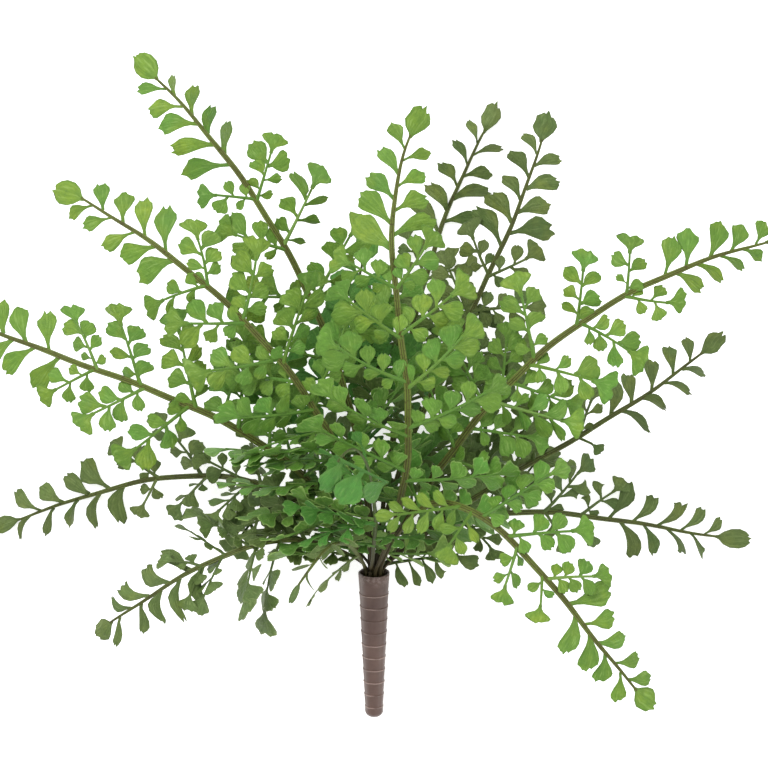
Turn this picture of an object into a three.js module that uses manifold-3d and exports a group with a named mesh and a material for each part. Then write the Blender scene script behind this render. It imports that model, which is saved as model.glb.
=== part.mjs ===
// Artificial maidenhair fern bush, lying on its back.
// Sixteen moulded fronds stand in one tapered socket. The bush lies in the XY plane with the
// socket towards -Y and its front side towards +Z. Millimetres, +Z up.
import * as THREE from 'three';
import { mergeVertices } from 'three/addons/utils/BufferGeometryUtils.js';
import Module from 'manifold-3d';

// ---- driving dimensions -------------------------------------------------------------------
const CLEARANCE = 0.3;            // left between pieces that touch

const PICK_LENGTH = 93;
const PICK_MOUTH_RADIUS = 9.6;
const PICK_TIP_RADIUS = 5.4;
const PICK_WALL = 1.2;
const PICK_FLOOR = 4;             // solid stretch at the closed end
const PICK_RINGS = 10;            // moulded steps down the taper
const PICK_FIRST_RING = 7;        // from the closed end
const PICK_RING_PITCH = 8.1;
const PICK_STEP = 0.35;           // how far a step stands out
const PICK_SIDES = 12;
const PICK_TILT = 18;             // degrees, mouth raised off the surface
const PICK_MOUTH_X = -6;
const PICK_MOUTH_Y = -113.5;

const BINDER_DEPTH = 4;           // below the rim
const BINDER_LENGTH = 10;
const HOLE_RADIUS = 1.35;
const HOLE_SIDES = 6;
const OUTER_RING = { holes: 11, radius: 5.6 };
const INNER_RING = { holes: 5, radius: 2.65 };

const STEM_HALF = 0.74;           // half the side of the square stem in the binder
const STEM_HALF_FULL = 1.4;       // at its thickest
const STEM_HALF_TIP = 0.7;        // where the end spray begins
const STEM_SWELL = 80;            // distance over which the stem thickens above the rim
const STEM_STEPS = 11;
const STEM_LAP = 6;               // the stem runs this far into the end spray

const BLADE = 0.8;                // thickness of every leaflet
const RIB_HALF = 0.8;
const FOLD = 0.12;                // slope of the leaflets away from the rib
const LEAFLET_STALK = 0.7;        // half the width of a leaflet where it leaves the rib
// Outer corners of a leaflet and of a fan: share of the length, and of the width to one side.
const LEAFLET_EDGE = [[0.84, -0.5], [0.9, -0.02], [1, 0.42]];
const FAN_EDGE = [[0.5, -0.5], [0.92, -0.34], [0.86, 0.02], [1, 0.2], [0.55, 0.5]];

// The end of a frond has single leaflets that grow smaller from its foot to the leaflet at its tip.
const END_SPRAY = 84;             // length
const END_SPRAY_LEAFLETS = 8;
const END_SPRAY_FIRST = 4;        // from its foot to the first leaflet
const END_SPRAY_ANGLE = [62, 50];
const END_SPRAY_LENGTH = [19, 13];
const END_SPRAY_WIDTH = [9, 6.5];
const TIP_LEAFLET = { x: END_SPRAY - 21, length: 21, width: 13 };
const TIP_GAP = 11;               // from the last single leaflet to the one at the tip

// Side sprays are in proportion: leaflets at shares of the length, on one side or the other.
const SIDE_LEAFLETS = [[0.3, 1], [0.38, -1], [0.54, 1], [0.62, -1]];
const SIDE_LEAFLET = { angle: 58, length: 0.3, width: 0.2 };
const SIDE_FAN = { x: 0.7, length: 0.3, width: 0.34 };
const SPRAY_LENGTH = [60, 33];    // side spray at the foot of the frond and near its tip
const SPRAY_ANGLE = [74, 46];     // degrees between stem and side spray, at the foot and the tip
const SPRAY_LEAN = 7;             // how far that angle varies from spray to spray
const SPRAY_BEND = 0.3;           // slope that a side spray has lost at its end
const SPRAY_CROWDING = 1.15;      // above 1, side sprays stand closer towards the tip
const FIRST_SPRAY = 26;           // from the rim to the first side spray, unless a frond says
const LAST_SPRAY_GAP = 4;         // from the last side spray to the end spray

const STEM_REST = 0.9;            // height of a resting stem's middle above the surface
const STEM_SAMPLE = 5;            // spacing of the points that stand for a stem
const FRAME_REACH = 1.5;          // directions on a route are taken over twice this length
const CLEAR_LEAF = 5.2;           // sample points of two fronds stay this far apart
const CLEAR_STEM = 4.2;
const SURFACE_CLEAR = 0.6;        // only the resting sprays come nearer to the surface

const GREEN_FRONT = 0x7daa3c;
const GREEN_MIDDLE = 0x5f9a40;
const GREEN_BACK = 0x466b35;
const BROWN_PICK = 0x75624f;
const BROWN_BINDER = 0x5a4636;

// ---- the fronds ---------------------------------------------------------------------------
// Each frond runs from its hole through low (a third of the way) and high (two thirds) to tip.
// Its upper side is turned to foot near the socket and to face further out.
const FACE_UP = [0, 0, 1];
const FACE_INWARD = [0, 1, 0.35];
const FRONDS = [
  { name: 'frond_upper_left', ring: INNER_RING, slot: 2, green: GREEN_FRONT, sprays: 8,
    low: [-25, 2, 74], high: [-74, 106, 96], tip: [-149, 194, 84], foot: FACE_UP, face: FACE_UP },
  { name: 'frond_left_upper', ring: INNER_RING, slot: 1, green: GREEN_FRONT, sprays: 8,
    low: [-40, -16, 104], high: [-107, 60, 132], tip: [-193, 117, 108],
    foot: [0.2, 0.4, 1], face: FACE_UP },
  { name: 'frond_left', ring: OUTER_RING, slot: 5, green: GREEN_FRONT, sprays: 8,
    low: [-72, -36, 84], high: [-166, 7, 96], tip: [-268, 48, 62],
    foot: FACE_INWARD, face: FACE_UP },
  { name: 'frond_left_lower', ring: OUTER_RING, slot: 7, green: GREEN_BACK, sprays: 6,
    low: [-86, -58, 30], high: [-166, -64, 8], tip: [-242, -89, -12],
    foot: FACE_INWARD, face: FACE_UP, rests: true },
  { name: 'frond_lower_left', ring: OUTER_RING, slot: 6, green: GREEN_BACK, sprays: 6,
    low: [-65, -94, 62], high: [-122, -116, 62], tip: [-179, -154, 38],
    foot: FACE_INWARD, face: [0, 0.3, 1] },
  { name: 'frond_centre', ring: OUTER_RING, slot: 2, green: GREEN_FRONT, sprays: 8,
    low: [14, -14, 132], high: [5, 73, 160], tip: [24, 161, 146], foot: FACE_UP, face: FACE_UP },
  { name: 'frond_top', ring: OUTER_RING, slot: 8, green: GREEN_BACK, sprays: 6,
    low: [8, -16, 20], high: [30, 80, 6], tip: [72, 171, -12], foot: FACE_UP, face: FACE_UP,
    rests: true },
  { name: 'frond_top_right', ring: INNER_RING, slot: 4, green: GREEN_BACK, sprays: 8,
    low: [22, -20, 44], high: [66, 72, 44], tip: [99, 166, 34], foot: FACE_UP, face: FACE_UP },
  { name: 'frond_right_upper', ring: INNER_RING, slot: 0, green: GREEN_FRONT, sprays: 8,
    low: [54, -22, 96], high: [130, 45, 112], tip: [245, 88, 80],
    foot: [-0.2, 0.4, 1], face: FACE_UP },
  { name: 'frond_right', ring: OUTER_RING, slot: 0, green: GREEN_BACK, sprays: 6,
    low: [64, -62, 56], high: [134, -21, 54], tip: [206, 31, 36],
    foot: FACE_INWARD, face: [0, 0.3, 1] },
  { name: 'frond_right_lower', ring: OUTER_RING, slot: 10, green: GREEN_BACK, sprays: 7,
    low: [62, -79, 24], high: [142, -83, 8], tip: [223, -96, -10],
    foot: [0, 0.4, 1], face: FACE_UP, rests: true, first: 9 },
  { name: 'frond_lower_right', ring: OUTER_RING, slot: 1, green: GREEN_FRONT, sprays: 6,
    low: [45, -72, 104], high: [103, -124, 114], tip: [161, -194, 84],
    foot: [0, 0.7, 1], face: [0.2, 0.2, 1], first: 56 },
  { name: 'frond_front', ring: OUTER_RING, slot: 3, green: GREEN_MIDDLE, sprays: 4,
    low: [-6, -66, 118], high: [-16, -38, 178], tip: [-34, -62, 204],
    foot: [0, 1, 0.6], face: [0, 0.6, 1] },
  { name: 'frond_front_low', ring: OUTER_RING, slot: 4, green: GREEN_MIDDLE, sprays: 3,
    low: [-26, -94, 96], high: [-42, -106, 128], tip: [-60, -134, 134],
    foot: [-0.3, 1, 0.6], face: [-0.5, 0.4, 1] },
  { name: 'frond_upper_middle', ring: INNER_RING, slot: 3, green: GREEN_MIDDLE, sprays: 5,
    low: [-13, -34, 44], high: [-18, 26, 52], tip: [-8, 92, 42], foot: FACE_UP, face: FACE_UP },
  { name: 'frond_right_short', ring: OUTER_RING, slot: 9, green: GREEN_BACK, sprays: 3,
    low: [20, -76, 22], high: [58, -56, 26], tip: [108, -44, 16],
    foot: FACE_UP, face: FACE_UP },
];

const SPRAY_TRIES = [];           // tilt in degrees and share of full length, in order of choice
for (const share of [1, 0.8, 0.62]) {
  for (const tilt of [10, 26, -8, 42, -24, 58]) {
    SPRAY_TRIES.push({ tilt, share });
  }
}

// ---- helpers ------------------------------------------------------------------------------
const wasm = await Module();
wasm.setup();

const radians = THREE.MathUtils.degToRad;
const mix = THREE.MathUtils.lerp;
const vector = (list) => new THREE.Vector3(...list);

function toSolid(geometry) {
  geometry.deleteAttribute('normal');
  geometry.deleteAttribute('uv');
  const merged = mergeVertices(geometry, 1e-5);
  const solid = new wasm.Manifold(new wasm.Mesh({
    numProp: 3,
    vertProperties: new Float32Array(merged.attributes.position.array),
    triVerts: new Uint32Array(merged.index.array),
  }));
  return solid;
}

function toGeometry(solid) {
  const mesh = solid.getMesh();
  const geometry = new THREE.BufferGeometry();
  geometry.setAttribute('position', new THREE.BufferAttribute(mesh.vertProperties, 3));
  geometry.setIndex(new THREE.BufferAttribute(mesh.triVerts, 1));
  geometry.computeVertexNormals();
  return geometry;
}

function makeMesh(name, geometry, color, roughness) {
  const material = new THREE.MeshStandardMaterial({ color, roughness, metalness: 0 });
  const mesh = new THREE.Mesh(geometry, material);
  mesh.name = name;
  return mesh;
}

// ---- pick and binder: both are made along +Z from the closed end, then tilted ----------------
const pickAxis = new THREE.Vector3(0, Math.cos(radians(PICK_TILT)), Math.sin(radians(PICK_TILT)));
const pickAcross = new THREE.Vector3(1, 0, 0);
const pickFront = new THREE.Vector3().crossVectors(pickAcross, pickAxis);

function pickRadius(height) {
  return mix(PICK_TIP_RADIUS, PICK_MOUTH_RADIUS, height / PICK_LENGTH);
}

function pickProfile() {
  const round = PICK_TIP_RADIUS * 0.75;
  const outside = [
    new THREE.Vector2(0, 0),
    new THREE.Vector2(PICK_TIP_RADIUS * 0.62, 0.6),
    new THREE.Vector2(pickRadius(round), round),
  ];
  for (let ring = 0; ring < PICK_RINGS; ring += 1) {
    const height = PICK_FIRST_RING + ring * PICK_RING_PITCH;
    outside.push(new THREE.Vector2(pickRadius(height), height));
    outside.push(new THREE.Vector2(pickRadius(height) - PICK_STEP, height + PICK_STEP));
  }
  outside.push(new THREE.Vector2(PICK_MOUTH_RADIUS, PICK_LENGTH));
  const inside = [
    new THREE.Vector2(PICK_MOUTH_RADIUS - PICK_WALL, PICK_LENGTH),
    new THREE.Vector2(pickRadius(PICK_FLOOR) - PICK_WALL - PICK_STEP, PICK_FLOOR),
    new THREE.Vector2(0, PICK_FLOOR),
  ];
  return outside.concat(inside);
}

// The lowest point of the tilted pick sets how high its closed end lies.
const profile = pickProfile();
const tiltSine = Math.sin(radians(PICK_TILT));
const tiltCosine = Math.cos(radians(PICK_TILT));
const lowest = Math.min(...profile.map((p) => p.y * tiltSine - p.x * tiltCosine));
const mouthCentre = new THREE.Vector3(
  PICK_MOUTH_X, PICK_MOUTH_Y, PICK_LENGTH * tiltSine - lowest);

function placeOnPick(mesh, height) {
  const basis = new THREE.Matrix4().makeBasis(pickAcross, pickFront.clone().negate(), pickAxis);
  mesh.quaternion.setFromRotationMatrix(basis);
  mesh.position.copy(mouthCentre).addScaledVector(pickAxis, height - PICK_LENGTH);
  return mesh;
}

function makePick() {
  const geometry = new THREE.LatheGeometry(profile, PICK_SIDES);
  geometry.rotateX(Math.PI / 2);
  return placeOnPick(makeMesh('pick', toGeometry(toSolid(geometry)), BROWN_PICK, 0.6), 0);
}

// A hole's place in the cross-section of the pick: slots are counted from +X through the front.
function holePlace(ring, slot) {
  const turn = ((slot + 0.5) / ring.holes) * 2 * Math.PI;
  return new THREE.Vector2(Math.cos(turn), Math.sin(turn)).multiplyScalar(ring.radius);
}

function polygonAround(centre, radius, sides) {
  const points = [];
  for (let side = 0; side < sides; side += 1) {
    const turn = (side / sides) * 2 * Math.PI;
    points.push(new THREE.Vector2(
      centre.x + radius * Math.cos(turn), centre.y + radius * Math.sin(turn)));
  }
  return points;
}

function makeBinder() {
  const bottom = PICK_LENGTH - BINDER_DEPTH - BINDER_LENGTH;
  const bore = pickRadius(bottom) - PICK_WALL;
  const centre = new THREE.Vector2();
  const shape = new THREE.Shape(polygonAround(centre, bore - CLEARANCE, PICK_SIDES));
  for (const ring of [OUTER_RING, INNER_RING]) {
    for (let slot = 0; slot < ring.holes; slot += 1) {
      const place = holePlace(ring, slot);
      place.y = -place.y;
      shape.holes.push(new THREE.Path(polygonAround(place, HOLE_RADIUS, HOLE_SIDES)));
    }
  }
  const geometry = new THREE.ExtrudeGeometry(shape, { depth: BINDER_LENGTH, bevelEnabled: false });
  const mesh = makeMesh('binder', toGeometry(toSolid(geometry)), BROWN_BINDER, 0.7);
  return placeOnPick(mesh, bottom);
}

// ---- route of a frond's stem ---------------------------------------------------------------
// Straight up through its hole to the rim, then one cubic through low, high and tip. The points
// are joined by straight stretches, and places on the route are given by distance.
const ROUTE_POINTS = 64;
const RIM_REST = 3;               // the stem stays straight this far above the rim
const FACE_TURNED = 0.6;          // share of its length where a frond's face is fully turned

class Route {
  constructor(frond) {
    const place = holePlace(frond.ring, frond.slot);
    const onAxis = (above) => mouthCentre.clone()
      .addScaledVector(pickAcross, place.x)
      .addScaledVector(pickFront, place.y)
      .addScaledVector(pickAxis, above);
    const start = onAxis(RIM_REST);
    const [low, high, tip] = [vector(frond.low), vector(frond.high), vector(frond.tip)];
    const pull = new THREE.Vector3().addScaledVector(start, -5).addScaledVector(low, 18)
      .addScaledVector(high, -9).addScaledVector(tip, 2).divideScalar(6);
    const push = new THREE.Vector3().addScaledVector(start, 2).addScaledVector(low, -9)
      .addScaledVector(high, 18).addScaledVector(tip, -5).divideScalar(6);
    const curve = new THREE.CubicBezierCurve3(start, pull, push, tip);
    this.points = [onAxis(-BINDER_DEPTH - BINDER_LENGTH), onAxis(-BINDER_DEPTH)];
    for (let i = 0; i <= ROUTE_POINTS; i += 1) {
      const point = curve.getPoint(i / ROUTE_POINTS);
      point.z = Math.max(point.z, frond.rests ? STEM_REST : 0);
      this.points.push(point);
    }
    this.reach = [0];
    for (let i = 1; i < this.points.length; i += 1) {
      this.reach.push(this.reach[i - 1] + this.points[i].distanceTo(this.points[i - 1]));
    }
    this.length = this.reach[this.reach.length - 1];
    this.rim = BINDER_DEPTH + BINDER_LENGTH;
    this.foot = vector(frond.foot).normalize();
    this.face = vector(frond.face).normalize();
  }

  pointAt(distance) {
    let i = 1;
    while (i < this.points.length - 1 && this.reach[i] < distance) {
      i += 1;
    }
    const share = (distance - this.reach[i - 1]) / (this.reach[i] - this.reach[i - 1]);
    return this.points[i - 1].clone().lerp(this.points[i], share);
  }

  // Place on the route with the directions along it, out of its face and across it.
  frameAt(distance) {
    const along = this.pointAt(distance + FRAME_REACH).sub(this.pointAt(distance - FRAME_REACH));
    along.normalize();
    const turned = THREE.MathUtils.smoothstep(distance, this.rim, FACE_TURNED * this.length);
    const face = this.foot.clone().lerp(this.face, turned);
    const out = face.clone().addScaledVector(along, -face.dot(along)).normalize();
    const across = new THREE.Vector3().crossVectors(along, out);
    return { at: this.pointAt(distance), along, out, across };
  }
}

function stemHalf(route, distance) {
  const end = route.length - END_SPRAY;
  const swell = THREE.MathUtils.clamp((distance - route.rim) / STEM_SWELL, 0, 1);
  const taper = THREE.MathUtils.clamp((distance - route.rim) / (end - route.rim), 0, 1);
  return Math.min(mix(STEM_HALF, STEM_HALF_FULL, swell), mix(STEM_HALF_FULL, STEM_HALF_TIP, taper));
}

// ---- outlines of the blades: x runs along the rib, y across it ------------------------------
// A leaflet is a wedge with a cut outer edge. side is 1 or -1.
function leaflet(x, side, angle, length, width) {
  const lengthwise = new THREE.Vector2(Math.cos(angle), side * Math.sin(angle));
  const widthwise = new THREE.Vector2(Math.sin(angle), -side * Math.cos(angle));
  const foot = new THREE.Vector2(x, side * RIB_HALF);
  const place = (long, wide) => foot.clone()
    .addScaledVector(lengthwise, long * length).addScaledVector(widthwise, wide * width);
  return [
    new THREE.Vector2(x - LEAFLET_STALK, side * RIB_HALF),
    ...LEAFLET_EDGE.map(([long, wide]) => place(long, wide)),
    new THREE.Vector2(x + LEAFLET_STALK, side * RIB_HALF),
  ];
}

// The fan at the end of a rib, from its right side to its left.
function fanEdge(fan) {
  return FAN_EDGE.map(([long, wide]) =>
    new THREE.Vector2(fan.x + long * fan.length, wide * fan.width));
}

// Outline of a rib with its leaflets. leaves lists {x, side, angle, length, width}.
function ribOutline(leaves, fan) {
  const right = leaves.filter((leaf) => leaf.side < 0).sort((a, b) => a.x - b.x);
  const left = leaves.filter((leaf) => leaf.side > 0).sort((a, b) => b.x - a.x);
  const outline = [new THREE.Vector2(0, -RIB_HALF)];
  for (const leaf of right) {
    outline.push(...leaflet(leaf.x, -1, leaf.angle, leaf.length, leaf.width));
  }
  outline.push(...fanEdge(fan));
  for (const leaf of left) {
    outline.push(...leaflet(leaf.x, 1, leaf.angle, leaf.length, leaf.width).reverse());
  }
  outline.push(new THREE.Vector2(0, RIB_HALF));
  return outline;
}

function sideSprayLeaves(length) {
  return SIDE_LEAFLETS.map(([share, side]) => ({
    x: share * length,
    side,
    angle: radians(SIDE_LEAFLET.angle),
    length: SIDE_LEAFLET.length * length,
    width: SIDE_LEAFLET.width * length,
  }));
}

function sideSprayFan(length) {
  return {
    x: SIDE_FAN.x * length, length: SIDE_FAN.length * length, width: SIDE_FAN.width * length,
  };
}

function endSprayLeaves() {
  const leaves = [];
  for (let i = 0; i < END_SPRAY_LEAFLETS; i += 1) {
    const share = i / (END_SPRAY_LEAFLETS - 1);
    leaves.push({
      x: mix(END_SPRAY_FIRST, TIP_LEAFLET.x - TIP_GAP, share),
      side: i % 2 ? 1 : -1,
      angle: radians(mix(...END_SPRAY_ANGLE, share)),
      length: mix(...END_SPRAY_LENGTH, share),
      width: mix(...END_SPRAY_WIDTH, share),
    });
  }
  return leaves;
}

// ---- blades in space ------------------------------------------------------------------------
// bend(x, y, z) puts a point of the flat blade in space, and both faces have the same triangles.
function bladeSolid(outline, bend) {
  const shape = new THREE.Shape(outline);
  const geometry = new THREE.ExtrudeGeometry(shape, { depth: BLADE, bevelEnabled: false });
  const position = geometry.attributes.position;
  for (let i = 0; i < position.count; i += 1) {
    const point = bend(position.getX(i), position.getY(i), position.getZ(i) - BLADE / 2);
    position.setXYZ(i, point.x, point.y, point.z);
  }
  return toSolid(geometry);
}

// The end spray follows the stem's route. A resting one lies flat on the surface.
function endSprayBend(frond, route) {
  const start = route.length - END_SPRAY;
  const drop = frond.rests ? STEM_REST - BLADE / 2 : 0;
  const fold = frond.rests ? 0 : FOLD;
  return (x, y, z) => {
    const frame = route.frameAt(start + x);
    return frame.at.addScaledVector(frame.across, -y)
      .addScaledVector(frame.out, z - drop - fold * Math.abs(y));
  };
}

// A side spray leaves the stem at an angle, is tilted out of the frond's face and arches back.
function sideSprayBend(route, spray) {
  const frame = route.frameAt(spray.at);
  const angle = radians(spray.angle);
  const tilt = radians(spray.tilt);
  const level = frame.along.clone().multiplyScalar(Math.cos(angle))
    .addScaledVector(frame.across, spray.side * Math.sin(angle));
  const along = level.clone().multiplyScalar(Math.cos(tilt))
    .addScaledVector(frame.out, Math.sin(tilt));
  const across = new THREE.Vector3().crossVectors(along, frame.out).normalize();
  const out = new THREE.Vector3().crossVectors(across, along);
  return (x, y, z) => {
    const slope = SPRAY_BEND * (x / spray.length);
    return frame.at.clone().addScaledVector(along, x)
      .addScaledVector(across, -y)
      .addScaledVector(out, z - slope * x / 2 - FOLD * Math.abs(y));
  };
}

// ---- keeping the fronds clear of each other --------------------------------------------------
const placed = [];                // {point, frond, stem}

function remember(points, frond, stem) {
  for (const point of points) {
    placed.push({ point, frond, stem });
  }
}

function isClear(points, frond) {
  for (const point of points) {
    if (point.z < SURFACE_CLEAR) {
      return false;
    }
    for (const other of placed) {
      const gap = other.stem ? CLEAR_STEM : CLEAR_LEAF;
      if (other.frond !== frond && point.distanceToSquared(other.point) < gap * gap) {
        return false;
      }
    }
  }
  return true;
}

function stemSamples(route) {
  const points = [];
  for (let distance = route.rim; distance < route.length; distance += STEM_SAMPLE) {
    points.push(route.pointAt(distance));
  }
  return points;
}

// Points all over the leaflets of a blade, and along its rib.
const LEAF_SAMPLES = [0.35, 0.68, 1];
const RIB_SAMPLES = [0.4, 0.6, 0.8, 1];

function leafSamples(leaves, fan, bend) {
  const points = [];
  for (const leaf of leaves) {
    const corners = leaflet(leaf.x, leaf.side, leaf.angle, leaf.length, leaf.width);
    const foot = new THREE.Vector2(leaf.x, leaf.side * RIB_HALF);
    for (const corner of corners.slice(1, -1)) {
      for (const share of LEAF_SAMPLES) {
        const point = foot.clone().lerp(corner, share);
        points.push(bend(point.x, point.y, 0));
      }
    }
  }
  for (const corner of fanEdge(fan)) {
    points.push(bend(corner.x, corner.y, 0));
  }
  for (const share of RIB_SAMPLES) {
    points.push(bend(fan.x * share, 0, 0));
  }
  return points;
}

// Side sprays from the tip to the foot, on one side and the other in turn.
function placeSprays(frond, route) {
  const first = route.rim + (frond.first ?? FIRST_SPRAY);
  const last = route.length - END_SPRAY - LAST_SPRAY_GAP;
  const sprays = [];
  for (let i = 0; i < frond.sprays; i += 1) {
    const share = (i / (frond.sprays - 1)) ** SPRAY_CROWDING;
    const side = i % 2 ? -1 : 1;
    const at = mix(last, first, share);
    const lean = SPRAY_LEAN * Math.sin(2.4 * i + 1.7 * side + route.length);
    const angle = mix(SPRAY_ANGLE[1], SPRAY_ANGLE[0], share) + lean;
    for (const attempt of SPRAY_TRIES) {
      const length = attempt.share * mix(SPRAY_LENGTH[1], SPRAY_LENGTH[0], share);
      const spray = { at, side, angle, length, tilt: attempt.tilt };
      const bend = sideSprayBend(route, spray);
      const points = leafSamples(sideSprayLeaves(length), sideSprayFan(length), bend);
      if (isClear(points, frond)) {
        remember(points, frond, false);
        sprays.push(spray);
        break;
      }
    }
  }
  return sprays;
}

// ---- one frond ---------------------------------------------------------------------------
function stemSolid(route) {
  const length = route.length - END_SPRAY + STEM_LAP;
  const square = new THREE.Shape([
    new THREE.Vector2(-1, -1), new THREE.Vector2(1, -1),
    new THREE.Vector2(1, 1), new THREE.Vector2(-1, 1),
  ]);
  const geometry = new THREE.ExtrudeGeometry(square, {
    depth: 1, steps: STEM_STEPS, bevelEnabled: false,
  });
  const position = geometry.attributes.position;
  for (let i = 0; i < position.count; i += 1) {
    const step = Math.round(position.getZ(i) * STEM_STEPS);
    const distance = step === 0 ? 0 : mix(route.rim, length, (step - 1) / (STEM_STEPS - 1));
    const half = stemHalf(route, distance);
    const frame = route.frameAt(distance);
    const point = frame.at.addScaledVector(frame.across, -half * position.getX(i))
      .addScaledVector(frame.out, half * position.getY(i));
    position.setXYZ(i, point.x, point.y, point.z);
  }
  return toSolid(geometry);
}

function makeFrond(frond, route, sprays) {
  let solid = stemSolid(route);
  const endOutline = ribOutline(endSprayLeaves(), TIP_LEAFLET);
  solid = solid.add(bladeSolid(endOutline, endSprayBend(frond, route)));
  for (const spray of sprays) {
    const outline = ribOutline(sideSprayLeaves(spray.length), sideSprayFan(spray.length));
    solid = solid.add(bladeSolid(outline, sideSprayBend(route, spray)));
  }
  return makeMesh(frond.name, toGeometry(solid), frond.green, 0.55);
}

const bush = new THREE.Group();
bush.add(makePick());
bush.add(makeBinder());
const routes = new Map();
for (const frond of FRONDS) {
  const route = new Route(frond);
  routes.set(frond, route);
  remember(stemSamples(route), frond, true);
}
for (const frond of FRONDS) {
  const bend = endSprayBend(frond, routes.get(frond));
  remember(leafSamples(endSprayLeaves(), TIP_LEAFLET, bend), frond, false);
}
for (const frond of FRONDS) {
  const sprays = placeSprays(frond, routes.get(frond));
  bush.add(makeFrond(frond, routes.get(frond), sprays));
}

// The origin is under the middle of the whole bush, on the surface.
bush.updateMatrixWorld(true);
const middle = new THREE.Box3().setFromObject(bush, true).getCenter(new THREE.Vector3());
bush.position.set(-middle.x, -middle.y, 0);

export default bush;
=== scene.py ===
# An artificial maidenhair fern bush, lying on its back: the finish of every piece.
# Metres, +Z up. The fronds are set out in millimetres, as the bush is, and made in metres.
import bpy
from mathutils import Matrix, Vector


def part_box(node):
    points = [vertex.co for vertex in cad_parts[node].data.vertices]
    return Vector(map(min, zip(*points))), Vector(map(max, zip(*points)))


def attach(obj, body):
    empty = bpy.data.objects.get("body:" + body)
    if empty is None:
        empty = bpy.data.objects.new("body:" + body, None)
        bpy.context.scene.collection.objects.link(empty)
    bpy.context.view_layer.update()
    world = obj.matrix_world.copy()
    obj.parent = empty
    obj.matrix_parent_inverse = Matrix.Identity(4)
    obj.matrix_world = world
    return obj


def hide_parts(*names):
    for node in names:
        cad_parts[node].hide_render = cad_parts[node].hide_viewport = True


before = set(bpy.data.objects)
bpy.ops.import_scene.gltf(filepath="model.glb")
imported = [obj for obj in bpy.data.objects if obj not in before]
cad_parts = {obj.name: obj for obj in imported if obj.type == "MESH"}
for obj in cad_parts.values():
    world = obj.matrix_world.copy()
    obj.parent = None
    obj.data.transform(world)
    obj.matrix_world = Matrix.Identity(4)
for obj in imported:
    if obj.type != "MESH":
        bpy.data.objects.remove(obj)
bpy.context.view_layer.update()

import math

import bpy
import numpy as np
from mathutils import Matrix, Vector

MM = 0.001

# ---- setting out, in millimetres
PICK_LENGTH = 93
PICK_MOUTH_RADIUS = 9.6
PICK_TIP_RADIUS = 5.4
PICK_WALL = 1.2
PICK_TILT = math.radians(18)
PICK_MOUTH = (-6, -113.5)
PICK_RINGS = 10
PICK_FIRST_RING = 7
PICK_RING_PITCH = 8.1
BINDER_DEPTH = 4
BINDER_LENGTH = 10
OUTER_RING = (11, 5.6)  # holes and their distance from the middle
INNER_RING = (5, 2.65)

STEM_SWELL = 80  # distance over which a stem thickens above the rim
STEM_REST = 0.9  # height of a resting stem's middle above the surface
STEM_SAMPLE = 5
FRAME_REACH = 1.5
BLADE = 0.8  # thickness that a resting end spray has in the frame
RIB_HALF = 0.8
END_SPRAY = 84
END_SPRAY_LEAFLETS = 8
TIP_LEAFLET = (END_SPRAY - 21, 21, 13)
TIP_GAP = 11
FIRST_SPRAY = 26
LAST_SPRAY_GAP = 4
SPRAY_LENGTH = (60, 33)  # side spray at the foot of the frond and near its tip
SPRAY_ANGLE = (74, 46)
SPRAY_LEAN = 7
SPRAY_CROWDING = 1.15
SPRAY_BEND = 0.3
FOLD = 0.12
FACE_TURNED = 0.6
CLEAR_LEAF = 5.2
CLEAR_STEM = 4.2
SURFACE_CLEAR = 0.6
ROUTE_POINTS = 64
RIM_REST = 3

FACE_UP = (0, 0, 1)
FACE_INWARD = (0, 1, 0.35)


class Frond:
    """A frond's place in the socket, the way it takes, its green and how its leaflets look.

    Pairs of numbers are for its right and its left, looking towards the tip from above: curl in
    degrees, roll as a share of the way to edge-on, spread as a share of its side sprays' length in
    the frame. slim is a share of a leaflet's usual width, tip_leaf the size of the leaflet at the
    tip. left_out numbers the side sprays that aren't made. kinds are its end spray's, finish its
    colour where that isn't its green, and a bare frond has no end spray.
    """

    foot = face = FACE_UP
    first, rests, bare, left_out = FIRST_SPRAY, False, False, ()
    curl, roll, spread = (8, 8), (0.25, 0.25), (1, 1)
    slim, tip_leaf, kinds = 1.0, (22, 14), ("club", "spoon", "strap", "wedge")

    def __init__(self, ring, slot, green, sprays, low, high, tip, **unusual):
        self.ring, self.slot, self.green, self.sprays = ring, slot, green, sprays
        self.low, self.high, self.tip, self.finish = low, high, tip, green
        for name, value in unusual.items():
            setattr(self, name, value)


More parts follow.
